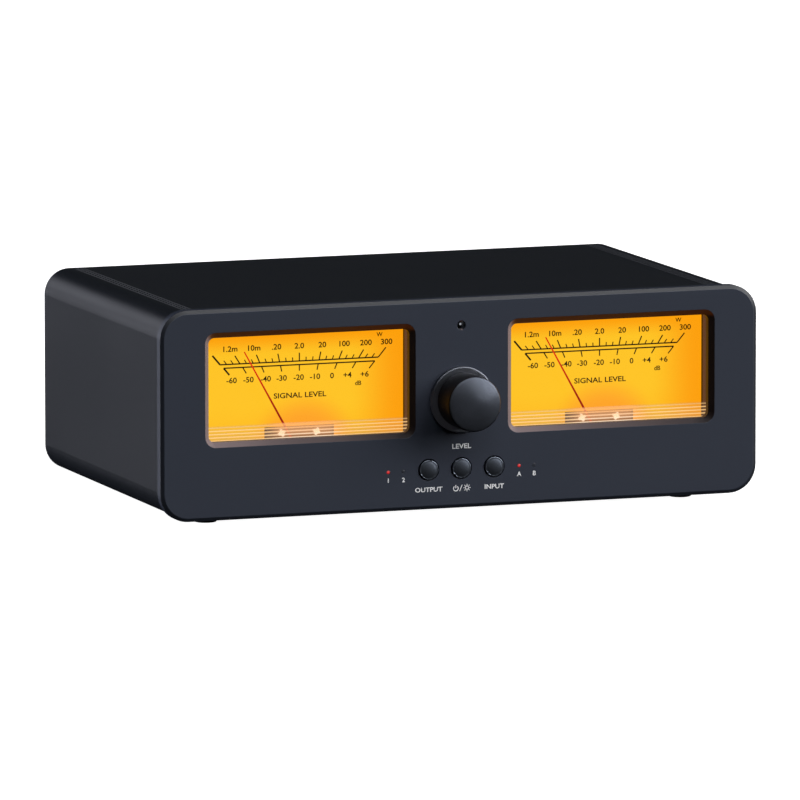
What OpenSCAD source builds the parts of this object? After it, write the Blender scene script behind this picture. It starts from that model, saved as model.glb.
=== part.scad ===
// Twin level meter box with an amplifier and speaker selector.
// +X is to the right, +Y runs from the front to the back and +Z is up.
// Every module below draws in the panel's own frame: Y is 0 on the front panel's
// face, Z is 0 on the panel's lower edge and X is 0 on the centre line.

/* [Body] */
// Width of the front panel
body_w = 250; // [246:1:256]
// Height of the front panel
panel_h = 83.5; // [82.5:0.5:88]
// Distance from the panel's face to the back of the rear panel
body_d = 149.6; // [146:0.2:170]
// Thickness of the front panel
panel_t = 4.5; // [4:0.1:4.5]
// Radius of the front panel's corners
corner_r = 11.4; // [9:0.1:12.5]
// How far the front panel stands out round the casing
panel_lip = 1.1; // [0.6:0.1:1.5]
// Wall thickness of the casing
wall = 2.2; // [1.8:0.1:2.4]
// Height of the panel's lower edge above the table
rise = 3.1; // [2.5:0.1:5]

/* [Meters] */
// Distance of each meter's centre from the centre line
meter_x = 63.1; // [62.8:0.1:64]
// Width of the window over a meter
window_w = 88; // [84:0.5:88]
// Height of the window over a meter
window_h = 46; // [44:0.5:46.5]
// Height of the window's centre above the panel's lower edge
window_z = 51.75; // [51:0.25:52]
// Radius of the window's corners
window_r = 4.5; // [4:0.1:6]
// Height of the needle's pivot above the panel's lower edge
pivot_z = 22.2; // [21.5:0.1:22.2]
// Length of the needle from the pivot to the tip
needle_l = 48.6; // [44:0.1:50]
// Angle of the needles left of upright
needle_rest = 29.1; // [0:0.1:40]

/* [Controls] */
// Height of the knob's axis above the panel's lower edge
knob_z = 43.2; // [42:0.1:45]
// Diameter of the knob
knob_d = 21.9; // [19:0.1:23]
// How far the knob stands out of the panel
knob_reach = 16.9; // [14:0.1:20]
// Diameter of the collar behind the knob
collar_d = 26.4; // [25:0.1:28]
// Distance between the push buttons
button_gap = 13.75; // [13.5:0.05:14]
// Height of the push buttons above the panel's lower edge
button_z = 15.75; // [15.5:0.05:16]
// Diameter of a push button
button_d = 7.9; // [7:0.1:8.2]

/* [Back] */
// Distance between neighbouring banana sockets
socket_gap = 19.05; // [19:0.05:20]
// Diameter of a banana socket's bore
socket_bore = 4; // [3.9:0.05:4.1]
// How far the sockets stand out behind the rear panel
socket_reach = 10; // [8:0.5:14]

/* [Hidden] */
$fn = 48;

// Casing and panels
bevel_w = 1.5;
bevel_deep = 0.7;
rear_t = 2.6;
casing_w = body_w - 2 * panel_lip;
casing_h = panel_h - 2 * panel_lip;
casing_r = corner_r - panel_lip;
casing_end = body_d - rear_t;
inside_w = casing_w - 2 * wall;
inside_h = casing_h - 2 * wall;
inside_r = casing_r - wall;
mid_z = panel_h / 2;
floor_z = panel_lip + wall;
total_d = knob_reach + body_d + socket_reach;
face_y = knob_reach - total_d / 2;
corner_boss_r = 3.2;
corner_boss_x = inside_w / 2 - inside_r + 4.2;
corner_boss_up = inside_h / 2 - inside_r + 4.2;
groove_mid = 110.1;
groove_gap = 1.7;
groove_w = 0.7;
groove_deep = 0.4;
window_bevel = 2;

// Fasteners
pilot_r = 1.25;
shank_r = 1.2;
clear_r = 1.6;
pan_head_r = 2.7;
pan_head_h = 1.8;
pan_l = 5;

// Front frame
frame_y = panel_t;
frame_back = frame_y + 2;
fit_gap = 0.15;
panel_screw_at = [[-111.5, 18], [111.5, 18], [-111.5, 73.2], [111.5, 73.2], [-42, 9.5], [42, 9.5]];
case_screw_x = 80;
case_screw_y = 14;
foot_x = 100;
foot_front = 20;
foot_back = 130;

// Meter module
meter_half = 43.3;
meter_wall = 1.5;
meter_top = 75.5;
meter_low = 19.9;
pocket_half = 11.5;
pocket_low = 11;
cover_front = frame_y + 0.1;
cover_t = 1.5;
case_front = 12.4;
case_back = 35.5;
lug_t = 2;
lug_out = 49.3;
lug_half = 4.5;
lug_zs = [30, 66];
dial_y = 13;
dial_t = 0.8;
rib_gap = 1.3;
rib_count = 5;
rib_low = 30.2;
movement_screw_x = 7.25;
movement_screw_z = 31.5;

// Movement
needle_y = 10.4;
needle_t = 0.8;
magnet_y = 17;
magnet_l = 10;
yoke_r = 9.6;
gap_outer = 7.2;
gap_inner = 4.9;
coil_outer = 6.6;
coil_inner = 5.5;
coil_w = 2;
coil_front = 15.2;
coil_back = 28.8;
staff_r = 0.5;
staff_bore = 0.56;
bridge_y = 7.1;
bridge_t = 1.2;
rear_bridge_y = 30.2;
post_r = 1.1;
post_at = 8.4;

// Controls
board_y = 11;
board_t = 1.6;
led_xs = [24.3, 30.65];
led_z = 15.6;
mic_z = 72.6;
mic_hole_r = 1.6;
control_boss_at = [[-22, 9], [22, 9], [0, 60]];
button_out = 0.8;
collar_out = 1.8;
knob_gap = 0.5;
control_shaft_r = 3;
control_bore_r = 3.05;

// Back
socket_group_xs = [-80, -32, 32, 80];
socket_z = 42;
board_z = 9.3;
standoff_at = [[-103, 60], [103, 60], [-103, 136], [103, 136], [-30, 60], [30, 60]];
relay_xs = [-60, -20, 20, 60];
jack_z = board_z + board_t + 5.5;

// Frames and prisms

module place() { translate([0, face_y, rise]) children(); }

// A prism along Y over an outline drawn in the X-Z plane
module along_y(y0, y1) {
    translate([0, y1, 0]) rotate([90, 0, 0]) linear_extrude(y1 - y0) children();
}

module rod_y(x, z, r, y0, y1) {
    translate([x, y0, z]) rotate([-90, 0, 0]) cylinder(r = r, h = y1 - y0);
}

module cone_y(x, z, r0, r1, y0, y1) {
    translate([x, y0, z]) rotate([-90, 0, 0]) cylinder(r1 = r0, r2 = r1, h = y1 - y0);
}

module block(x0, x1, y0, y1, z0, z1) {
    translate([x0, y0, z0]) cube([x1 - x0, y1 - y0, z1 - z0]);
}

module rounded_rect(w, h, r) {
    square([w - 2 * r, h], center = true);
    square([w, h - 2 * r], center = true);
    for (x = [-1, 1], z = [-1, 1])
        translate([x * (w / 2 - r), z * (h / 2 - r)]) circle(r);
}

// A rounded slab whose outline is w by h at y_wide and smaller by inset at y_small
module tapered_slab(w, h, r, inset, y_wide, y_small) {
    a = w / 2;
    b = h / 2;
    translate([-(a - r), 0, 0]) rotate([90, 0, 90]) linear_extrude(w - 2 * r)
        polygon([[y_wide, -b], [y_small, -b + inset], [y_small, b - inset], [y_wide, b]]);
    translate([0, 0, -(b - r)]) linear_extrude(h - 2 * r)
        polygon([[-a, y_wide], [-a + inset, y_small], [a - inset, y_small], [a, y_wide]]);
    for (x = [-1, 1], z = [-1, 1])
        translate([x * (a - r), y_wide, z * (b - r)])
            rotate([y_small > y_wide ? -90 : 90, 0, 0])
                cylinder(r1 = r, r2 = r - inset, h = abs(y_small - y_wide));
}

// A pan head screw with its head's underside at the origin and its shank along -Z
module pan_screw(length) {
    difference() {
        union() {
            cylinder(r = pan_head_r, h = pan_head_h - 0.6);
            translate([0, 0, pan_head_h - 0.6])
                cylinder(r1 = pan_head_r, r2 = pan_head_r - 0.7, h = 0.6);
            translate([0, 0, -length]) cylinder(r = shank_r, h = length);
        }
        for (turn = [0, 90])
            rotate(turn) translate([-1.5, -0.3, pan_head_h - 0.9]) cube([3, 0.6, 1.2]);
    }
}

module pan_screw_y(x, y, z, length) {
    translate([x, y, z]) rotate([-90, 0, 0]) pan_screw(length);
}

// The outline of a meter module in X-Z: a wide box and a pocket for the movement
module meter_outline(grow) {
    w = 2 * (meter_half + grow);
    translate([-w / 2, meter_low - grow])
        square([w, meter_top - meter_low + 2 * grow]);
    translate([-pocket_half - grow, pocket_low - grow])
        square([2 * (pocket_half + grow), meter_low - pocket_low + 2 * grow]);
}

module at_meter(side) { place() translate([side * meter_x, 0, 0]) children(); }

// Turns its children about a meter's pivot to the needles' position at rest
module at_needle(side) {
    at_meter(side) translate([0, 0, pivot_z]) rotate([0, -needle_rest, 0]) children();
}

// Casing

module case_shell() {
    color([0.15, 0.155, 0.17]) place() difference() {
        union() {
            difference() {
                translate([0, 0, mid_z]) along_y(panel_t, casing_end)
                    rounded_rect(casing_w, casing_h, casing_r);
                translate([0, 0, mid_z]) along_y(panel_t - 1, casing_end + 1)
                    rounded_rect(inside_w, inside_h, inside_r);
            }
            for (x = [-1, 1], z = [-1, 1])
                rod_y(x * corner_boss_x, mid_z + z * corner_boss_up, corner_boss_r,
                      frame_back + 0.5, casing_end);
        }
        for (x = [-1, 1], z = [-1, 1])
            rod_y(x * corner_boss_x, mid_z + z * corner_boss_up, pilot_r,
                  casing_end - 20, casing_end + 1);
        for (x = [-1, 1], i = [-1, 0, 1])
            translate([x * groove_mid + i * groove_gap - groove_w / 2, panel_t - 1,
                       mid_z + casing_h / 2 - groove_deep])
                cube([groove_w, body_d, 1]);
        for (x = [-foot_x, foot_x], y = [foot_front, foot_back])
            translate([x, y, 0]) cylinder(r = 1.5, h = floor_z + 1);
        for (x = [-case_screw_x, case_screw_x])
            translate([x, case_screw_y, 0]) {
                cylinder(r = clear_r, h = floor_z + 1);
                translate([0, 0, panel_lip - 0.05]) cylinder(r1 = 3.05, r2 = clear_r, h = 1.5);
            }
    }
}

module front_panel() {
    color([0.2, 0.215, 0.245]) place() difference() {
        translate([0, 0, mid_z]) {
            tapered_slab(body_w, panel_h, corner_r, bevel_w, bevel_deep, 0);
            along_y(bevel_deep, panel_t) rounded_rect(body_w, panel_h, corner_r);
        }
        for (side = [-1, 1]) translate([side * meter_x, 0, window_z]) {
            tapered_slab(window_w, window_h, window_r, window_bevel, 0, window_bevel);
            along_y(-1, 0) rounded_rect(window_w, window_h, window_r);
            along_y(window_bevel, panel_t + 1)
                rounded_rect(window_w - 2 * window_bevel, window_h - 2 * window_bevel,
                             window_r - window_bevel);
        }
        rod_y(0, knob_z, 3.6, -1, panel_t + 1);
        for (i = [-1, 0, 1]) {
            rod_y(i * button_gap, button_z, button_d / 2 + 0.3, -1, panel_t + 1);
            cone_y(i * button_gap, button_z, button_d / 2 + 0.55, button_d / 2 + 0.3, -0.01, 0.3);
        }
        for (x = led_xs, side = [-1, 1]) rod_y(side * x, led_z, 0.75, -1, panel_t + 1);
        rod_y(0, mic_z, mic_hole_r, -1, panel_t + 1);
        cone_y(0, mic_z, mic_hole_r + 0.35, mic_hole_r, -0.01, 0.35);
        for (p = panel_screw_at) rod_y(p[0], p[1], pilot_r, 1.3, panel_t + 1);
    }
}

module front_frame() {
    color([0.07, 0.07, 0.075]) place() difference() {
        union() {
            translate([0, 0, mid_z]) along_y(frame_y, frame_back)
                rounded_rect(inside_w - 2 * fit_gap, inside_h - 2 * fit_gap, inside_r - fit_gap);
            for (side = [-1, 1], out = [-lug_out, lug_out], z = lug_zs)
                rod_y(side * meter_x + out, z, 2.5, frame_back, case_front);
            for (p = control_boss_at) rod_y(p[0], p[1], 2.4, frame_back, board_y);
            for (x = [-case_screw_x, case_screw_x]) {
                block(x - 7, x + 7, frame_y, 20, floor_z + fit_gap, floor_z + 2);
                translate([x, case_screw_y, floor_z + fit_gap]) cylinder(r = 3, h = 5);
            }
        }
        for (side = [-1, 1]) translate([side * meter_x, 0, 0])
            along_y(frame_y - 1, frame_back + 1) meter_outline(meter_wall + 0.2);
        for (side = [-1, 1], out = [-lug_out, lug_out], z = lug_zs)
            rod_y(side * meter_x + out, z, pilot_r, case_front - 3.4, case_front + 1);
        for (p = control_boss_at) rod_y(p[0], p[1], pilot_r, board_y - 3.6, board_y + 1);
        for (p = panel_screw_at) rod_y(p[0], p[1], clear_r, 0, frame_back + 1);
        for (i = [-1, 0, 1]) rod_y(i * button_gap, button_z, 5.7, 0, frame_back + 1);
        for (side = [-1, 1])
            block(side * 27.5 - 5.2, side * 27.5 + 5.2, 0, frame_back + 1, led_z - 2, led_z + 2);
        block(-7, 7, 0, frame_back + 1, knob_z - 7, knob_z + 7);
        rod_y(0, mic_z, 3.4, 0, frame_back + 1);
        for (x = [-case_screw_x, case_screw_x])
            translate([x, case_screw_y, floor_z]) cylinder(r = pilot_r, h = 4);
    }
}

module rear_panel() {
    color([0.14, 0.145, 0.16]) place() difference() {
        translate([0, 0, mid_z]) along_y(casing_end, body_d)
            rounded_rect(casing_w, casing_h, casing_r);
        for (x = [-1, 1], z = [-1, 1])
            rod_y(x * corner_boss_x, mid_z + z * corner_boss_up, clear_r,
                  casing_end - 1, body_d + 1);
        for (p = sockets()) rod_y(p[0], p[1], 4.05, casing_end - 1, body_d + 1);
        block(-4.8, 4.8, casing_end - 1, body_d + 1, jack_z - 5.6, jack_z + 5.6);
    }
}

module feet() {
    color([0.05, 0.05, 0.05]) place()
        for (x = [-foot_x, foot_x], y = [foot_front, foot_back])
            translate([x, y, -rise]) difference() {
                cylinder(r1 = 4.5, r2 = 5.3, h = rise + panel_lip);
                translate([0, 0, -1]) cylinder(r = 3, h = 2.6);
                cylinder(r = 1.5, h = 10);
            }
}

module foot_screws() {
    color([0.55, 0.55, 0.56]) place()
        for (x = [-foot_x, foot_x], y = [foot_front, foot_back])
            translate([x, y, 1.6 - rise]) mirror([0, 0, 1]) difference() {
                union() {
                    cylinder(r = 2.6, h = 1.3);
                    translate([0, 0, -5]) cylinder(r = 1.45, h = 5);
                }
                for (turn = [0, 90])
                    rotate(turn) translate([-1.5, -0.3, 0.6]) cube([3, 0.6, 1.2]);
            }
}

module case_screws() {
    color([0.09, 0.09, 0.09]) place() for (x = [-case_screw_x, case_screw_x])
        translate([x, case_screw_y, panel_lip]) difference() {
            union() {
                cylinder(r1 = 2.9, r2 = shank_r, h = 1.7);
                cylinder(r = shank_r, h = 6);
            }
            for (turn = [0, 90]) rotate(turn) translate([-1.5, -0.3, -1]) cube([3, 0.6, 1.8]);
        }
}

module rear_screws() {
    color([0.09, 0.09, 0.09]) place() for (x = [-1, 1], z = [-1, 1])
        pan_screw_y(x * corner_boss_x, body_d, mid_z + z * corner_boss_up, 10);
}

// The identical screws that hold the panel, the meters and both boards
module pan_screws() {
    color([0.6, 0.6, 0.62]) place() {
        for (p = panel_screw_at) pan_screw_y(p[0], frame_back, p[1], pan_l);
        for (side = [-1, 1], out = [-lug_out, lug_out], z = lug_zs)
            pan_screw_y(side * meter_x + out, case_front + lug_t, z, pan_l);
        for (p = control_boss_at) pan_screw_y(p[0], board_y + board_t, p[1], pan_l);
        for (p = standoff_at)
            translate([p[0], p[1], board_z + board_t]) pan_screw(pan_l);
    }
}

// Knob and its rotary control

module knob() {
    r = knob_d / 2;
    back = collar_out + knob_gap;
    color([0.09, 0.09, 0.1]) place() translate([0, 0, knob_z]) difference() {
        rotate([90, 0, 0]) rotate_extrude($fn = 96)
            polygon([[0, back], [r - 0.4, back], [r, back + 0.4], [r, knob_reach - 1.7],
                     [r - 0.5, knob_reach - 1.2], [r - 3, knob_reach - 0.7],
                     [r - 6.5, knob_reach - 0.22], [0, knob_reach]]);
        rod_y(0, 0, 8.4, -back - 3.8, 0);
        rod_y(0, 0, control_shaft_r, -knob_reach + 3, 0);
        translate([0, -back - 7, 0]) mirror([0, 0, 1]) cylinder(r = 1.5, h = r + 1);
    }
}

module knob_screw() {
    color([0.5, 0.5, 0.52]) place() translate([0, -collar_out - knob_gap - 7, knob_z])
        mirror([0, 0, 1]) translate([0, 0, control_shaft_r]) difference() {
            cylinder(r = 1.5, h = 5);
            translate([0, 0, 3.6]) cylinder(r = 0.8, h = 2, $fn = 6);
        }
}

module knob_collar() {
    color([0.12, 0.12, 0.13]) place() translate([0, 0, knob_z]) rotate([90, 0, 0])
        rotate_extrude($fn = 96)
            polygon([[7.5, 0], [collar_d / 2, 0], [collar_d / 2, collar_out - 0.35],
                     [collar_d / 2 - 0.35, collar_out], [7.5, collar_out]]);
}

module control_body() {
    color([0.32, 0.33, 0.34]) place() translate([0, 0, knob_z]) difference() {
        union() {
            block(-6.2, 6.2, frame_y + 0.1, board_y, -6.2, 6.2);
            rod_y(0, 0, 3.5, -4.2, frame_y + 1);
        }
        rod_y(0, 0, control_bore_r, -5, 8.6);
    }
}

module control_shaft() {
    color([0.7, 0.7, 0.72]) place()
        rod_y(0, knob_z, control_shaft_r, -knob_reach + 3, 8.4);
}

module control_nut() {
    color([0.75, 0.75, 0.76]) place() translate([0, 0, knob_z]) difference() {
        union() {
            rod_y(0, 0, 6.6, -0.5, 0);
            translate([0, -2.2, 0]) rotate([-90, 0, 0]) cylinder(r = 5.7, h = 1.7, $fn = 6);
        }
        rod_y(0, 0, 3.5, -3, 1);
    }
}

// Push buttons and indicators

module button(i) {
    r = button_d / 2;
    color([0.1, 0.1, 0.11]) place() translate([i * button_gap, 0, button_z]) {
        rotate([90, 0, 0]) rotate_extrude()
            polygon([[0, -9], [1.7, -9], [1.7, -5.8], [5, -5.8], [5, -frame_y - 0.1],
                     [r, -frame_y - 0.1], [r, button_out - 0.5], [r - 0.5, button_out],
                     [0, button_out]]);
    }
}
module button_left() { button(-1); }
module button_middle() { button(0); }
module button_right() { button(1); }

module switch_bodies() {
    color([0.2, 0.2, 0.2]) place() for (i = [-1, 0, 1])
        translate([i * button_gap, 0, button_z]) difference() {
            block(-3, 3, 7.5, board_y, -3, 3);
            rod_y(0, 0, 1.75, 7, 10.2);
        }
}

module control_board() {
    color([0.05, 0.25, 0.12]) place() difference() {
        union() {
            block(-34, 34, board_y, board_y + board_t, 5.8, 17.9);
            block(-8.5, 8.5, board_y, board_y + board_t, 17, 76);
        }
        for (p = control_boss_at) rod_y(p[0], p[1], clear_r, board_y - 1, board_y + 3);
    }
}

module indicator_leds() {
    color([0.9, 0.9, 0.85]) place() for (x = led_xs, side = [-1, 1])
        block(side * x - 0.8, side * x + 0.8, 10, board_y, led_z - 0.6, led_z + 0.6);
}

module light_pipe(x) {
    rod_y(x, led_z, 0.7, -0.05, frame_y + 0.2);
    rod_y(x, led_z, 1.4, frame_y + 0.1, 10);
}

module lit_pipes() {
    color([0.95, 0.1, 0.08]) place() { light_pipe(-led_xs[1]); light_pipe(led_xs[0]); }
}

module unlit_pipes() {
    color([0.25, 0.05, 0.05]) place() { light_pipe(-led_xs[0]); light_pipe(led_xs[1]); }
}

module microphone() {
    color([0.6, 0.6, 0.6]) place() {
        rod_y(0, mic_z, 3, frame_y + 0.3, frame_y + 3);
        for (x = [-1.27, 1.27]) rod_y(x, mic_z, 0.3, frame_y + 2.9, board_y);
    }
}

// Main board and the back

module main_board() {
    color([0.05, 0.25, 0.12]) place() difference() {
        block(-108, 108, 54, casing_end - 1, board_z, board_z + board_t);
        for (p = standoff_at) translate([p[0], p[1], 0]) cylinder(r = clear_r, h = 20);
    }
}

module board_standoffs() {
    color([0.7, 0.6, 0.3]) place() for (p = standoff_at)
        translate([p[0], p[1], floor_z]) difference() {
            cylinder(r = 2.9, h = board_z - floor_z, $fn = 6);
            translate([0, 0, 0.8]) cylinder(r = pilot_r, h = 10, $fn = 48);
        }
}

module relays() {
    color([0.1, 0.2, 0.45]) place() for (x = relay_xs)
        block(x - 9.5, x + 9.5, 92, 107.5, board_z + board_t, board_z + board_t + 15.3);
}

module headers() {
    color([0.85, 0.83, 0.75]) place() {
        block(-9, 9, board_y + board_t, board_y + board_t + 5, 9.5, 14.5);
        block(-9, 9, 58, 64, board_z + board_t, board_z + board_t + 4);
    }
}

// A flat cable that leaves the front header, dips and runs back to the other one
module ribbon_cable() {
    t = 0.8;
    front = board_y + board_t + 5;
    color([0.6, 0.6, 0.6]) place() translate([-8, 0, 0]) rotate([90, 0, 90]) linear_extrude(16)
        polygon([[front, 12], [front + 3, 12], [front + 9, 13.1], [58, 13.1],
                 [58, 13.1 + t], [front + 9, 13.1 + t], [front + 3, 12 + t], [front, 12 + t]]);
}

// Centres of the four sockets of one group, and of all four groups
function socket_group(x) = [for (dx = [-0.5, 0.5], dz = [-0.5, 0.5])
    [x + dx * socket_gap, socket_z + dz * socket_gap]];
function sockets() = [for (x = socket_group_xs) each socket_group(x)];
function row_of_sockets(up) = [for (p = sockets()) if ((p[1] > socket_z) == up) p];

module socket_collar(p) {
    difference() {
        union() {
            rod_y(p[0], p[1], 6.6, body_d, body_d + 2.5);
            cone_y(p[0], p[1], 6.2, 5.2, body_d + 2.4, body_d + socket_reach);
            rod_y(p[0], p[1], 4, casing_end - 5, body_d + 1);
        }
        rod_y(p[0], p[1], 3, casing_end - 6, body_d + socket_reach + 1);
    }
}

module red_sockets() {
    color([0.7, 0.06, 0.05]) place() for (p = row_of_sockets(true)) socket_collar(p);
}

module black_sockets() {
    color([0.04, 0.04, 0.04]) place() for (p = row_of_sockets(false)) socket_collar(p);
}

module socket_cores() {
    color([0.85, 0.7, 0.35]) place() for (p = sockets()) difference() {
        rod_y(p[0], p[1], 3, casing_end - 11, body_d + socket_reach - 0.6);
        rod_y(p[0], p[1], socket_bore / 2, casing_end - 9, body_d + socket_reach + 1);
    }
}

module socket_nuts() {
    color([0.7, 0.7, 0.7]) place() for (p = sockets())
        translate([p[0], casing_end - 2.6, p[1]]) rotate([-90, 0, 0]) difference() {
            cylinder(r = 6.3, h = 2.6, $fn = 6);
            translate([0, 0, -1]) cylinder(r = 4, h = 5, $fn = 48);
        }
}

module power_jack() {
    color([0.06, 0.06, 0.06]) place() {
        difference() {
            block(-4.5, 4.5, 135.4, body_d + 0.2, jack_z - 5.5, jack_z + 5.5);
            rod_y(0, jack_z, 3.15, 139, body_d + 1);
        }
        rod_y(0, jack_z, 1.05, 138, body_d - 1);
    }
}

// Meter housing

module meter_cover(side) {
    color([0.95, 0.97, 1, 0.35]) at_meter(side) {
        along_y(cover_front, cover_front + cover_t) meter_outline(meter_wall);
        along_y(cover_front + cover_t - 0.1, case_front) difference() {
            meter_outline(meter_wall);
            meter_outline(0);
        }
        for (i = [0 : rib_count - 1])
            block(-meter_half - 0.1, meter_half + 0.1, cover_front + cover_t - 0.1,
                  cover_front + cover_t + 0.5,
                  rib_low + i * rib_gap, rib_low + i * rib_gap + rib_gap / 2);
    }
}
module left_cover() { meter_cover(-1); }
module right_cover() { meter_cover(1); }

module meter_case(side) {
    color([0.06, 0.06, 0.065]) at_meter(side) difference() {
        union() {
            along_y(case_back - meter_wall, case_back) meter_outline(meter_wall);
            along_y(case_front, case_back) difference() {
                meter_outline(meter_wall);
                meter_outline(0);
            }
            for (out = [-1, 1], z = lug_zs)
                block(out * (meter_half + 1 + lug_half + 0.5) - lug_half - 0.5,
                      out * (meter_half + 1 + lug_half + 0.5) + lug_half + 0.5,
                      case_front, case_front + lug_t, z - lug_half, z + lug_half);
            for (x = [-movement_screw_x, movement_screw_x])
                rod_y(x, movement_screw_z, 2, 15, case_back - 1);
            for (x = [-30, 30]) rod_y(x, 55, 2, 21.6, case_back - 1);
        }
        for (out = [-lug_out, lug_out], z = lug_zs)
            rod_y(out, z, clear_r, case_front - 1, case_front + lug_t + 1);
        for (x = [-movement_screw_x, movement_screw_x])
            rod_y(x, movement_screw_z, 0.95, 14, 19.5);
    }
}
module left_meter_case() { meter_case(-1); }
module right_meter_case() { meter_case(1); }

module dial(side) {
    color([0.99, 0.65, 0.1]) at_meter(side) difference() {
        block(-meter_half, meter_half, dial_y, dial_y + dial_t, 26, meter_top);
        block(-14.6, 14.6, dial_y - 1, dial_y + dial_t + 1, 20, 34);
    }
}
module left_dial() { dial(-1); }
module right_dial() { dial(1); }

module diffuser(side) {
    color([0.95, 0.93, 0.88]) at_meter(side) block(-43, 43, 14.6, 17.6, 36, 75);
}
module left_diffuser() { diffuser(-1); }
module right_diffuser() { diffuser(1); }

module lamp_board(side) {
    color([0.9, 0.9, 0.88]) at_meter(side) {
        block(-40, 40, 20, 21.6, 40, 70);
        for (i = [-2 : 2]) block(i * 16 - 1.7, i * 16 + 1.7, 18.7, 20, 53.6, 56.4);
    }
}
module left_lamp_board() { lamp_board(-1); }
module right_lamp_board() { lamp_board(1); }

// Moving coil movement

module movement_frame(side) {
    stop_r = 9.2;
    stop_angle = 52;
    color([0.1, 0.09, 0.09]) at_meter(side) difference() {
        union() {
            block(-14, 14, 14.2, 15, 20.4, 33.4);
            block(-10.8, 10.8, 14.2, 15, 11.6, 21);
            for (z = [-1, 1]) rod_y(0, pivot_z + z * post_at, post_r, 14.9, magnet_y);
            for (s = [-1, 1])
                rod_y(s * stop_r * sin(stop_angle), pivot_z + stop_r * cos(stop_angle), 0.5,
                      9.8, 14.3);
        }
        rod_y(0, pivot_z, 1.5, 13, 16);
        for (x = [-movement_screw_x, movement_screw_x]) rod_y(x, movement_screw_z, 1, 13, 16);
    }
}
module left_frame() { movement_frame(-1); }
module right_frame() { movement_frame(1); }

module yoke(side) {
    color([0.45, 0.45, 0.46]) at_meter(side) difference() {
        rod_y(0, pivot_z, yoke_r, magnet_y, magnet_y + magnet_l);
        rod_y(0, pivot_z, gap_outer, magnet_y - 1, magnet_y + magnet_l + 1);
    }
}
module left_yoke() { yoke(-1); }
module right_yoke() { yoke(1); }

module core(side) {
    color([0.35, 0.35, 0.36]) at_meter(side) {
        rod_y(0, pivot_z, gap_inner, magnet_y, magnet_y + magnet_l);
        block(-1, 1, magnet_y, magnet_y + magnet_l, pivot_z - gap_outer + 0.1,
              pivot_z + gap_outer - 0.1);
    }
}
module left_core() { core(-1); }
module right_core() { core(1); }

module coil(side) {
    color([0.7, 0.35, 0.15]) at_needle(side) difference() {
        block(-coil_outer, coil_outer, coil_front, coil_back, -coil_w / 2, coil_w / 2);
        block(-coil_inner, coil_inner, coil_front + 1, coil_back - 1, -coil_w, coil_w);
    }
}
module left_coil() { coil(-1); }
module right_coil() { coil(1); }

module staff(side) {
    color([0.8, 0.8, 0.82]) at_needle(side) {
        rod_y(0, 0, staff_r, 7.8, coil_front);
        rod_y(0, 0, staff_r, coil_back, 31.2);
    }
}
module left_staff() { staff(-1); }
module right_staff() { staff(1); }

module needle(side) {
    color([0.8, 0.08, 0.04]) at_needle(side) difference() {
        union() {
            rod_y(0, 0, 1.8, needle_y, needle_y + needle_t);
            along_y(needle_y + 0.2, needle_y + 0.6)
                polygon([[-0.45, 0], [-0.2, needle_l], [0.2, needle_l], [0.45, 0],
                         [0.45, -4.5], [1.3, -4.5], [1.3, -7], [-1.3, -7], [-1.3, -4.5],
                         [-0.45, -4.5]]);
        }
        rod_y(0, 0, staff_r, needle_y - 1, needle_y + 2);
    }
}
module left_needle() { needle(-1); }
module right_needle() { needle(1); }

module movement_screws() {
    color([0.85, 0.85, 0.87]) for (side = [-1, 1]) at_meter(side)
        for (x = [-movement_screw_x, movement_screw_x]) difference() {
            union() {
                rod_y(x, movement_screw_z, 1.6, 13, 14.2);
                rod_y(x, movement_screw_z, 0.9, 14.1, 19);
            }
            block(x - 2, x + 2, 12, 13.5, movement_screw_z - 0.25, movement_screw_z + 0.25);
        }
}

module bridges() {
    color([0.6, 0.58, 0.55]) for (side = [-1, 1]) at_meter(side) {
        difference() {
            union() {
                block(-8.6, 8.6, bridge_y, bridge_y + bridge_t, pivot_z - 1.8, pivot_z + 1.8);
                for (x = [-movement_screw_x, movement_screw_x])
                    rod_y(x, pivot_z, post_r, bridge_y + bridge_t - 0.1, 14.2);
            }
            rod_y(0, pivot_z, 1.4, bridge_y - 1, bridge_y + bridge_t + 1);
        }
        difference() {
            union() {
                block(-1.9, 1.9, rear_bridge_y, rear_bridge_y + bridge_t,
                      pivot_z - 9.4, pivot_z + 9.4);
                for (z = [-post_at, post_at])
                    rod_y(0, pivot_z + z, post_r, magnet_y + magnet_l, rear_bridge_y + 0.1);
            }
            rod_y(0, pivot_z, 1.4, rear_bridge_y - 1, rear_bridge_y + bridge_t + 1);
        }
    }
}

module jewel_screws() {
    color([0.8, 0.65, 0.3]) for (side = [-1, 1]) at_meter(side) {
        difference() {
            rod_y(0, pivot_z, 1.4, bridge_y - 0.5, bridge_y + bridge_t + 0.6);
            rod_y(0, pivot_z, staff_bore, bridge_y + 0.6, bridge_y + 4);
        }
        difference() {
            rod_y(0, pivot_z, 1.4, rear_bridge_y - 0.5, rear_bridge_y + bridge_t + 0.5);
            rod_y(0, pivot_z, staff_bore, rear_bridge_y - 2, rear_bridge_y + 1.1);
        }
    }
}

// A flat spiral of three turns
module hairspring() {
    turns = 3;
    step = 15;
    first_r = 1.2;
    pitch = 0.9;
    thick = 0.25;
    function spiral(grow) = [for (a = [0 : step : 360 * turns])
        (first_r + pitch * a / 360 + grow) * [cos(a), sin(a)]];
    inner = spiral(0);
    outer = spiral(thick);
    polygon(concat(outer, [for (i = [len(inner) - 1 : -1 : 0]) inner[i]]));
}

module hairsprings() {
    color([0.75, 0.55, 0.3]) for (side = [-1, 1]) at_meter(side)
        translate([0, 0, pivot_z]) for (y = [12.3, 29.1]) along_y(y, y + 0.3) hairspring();
}

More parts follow.
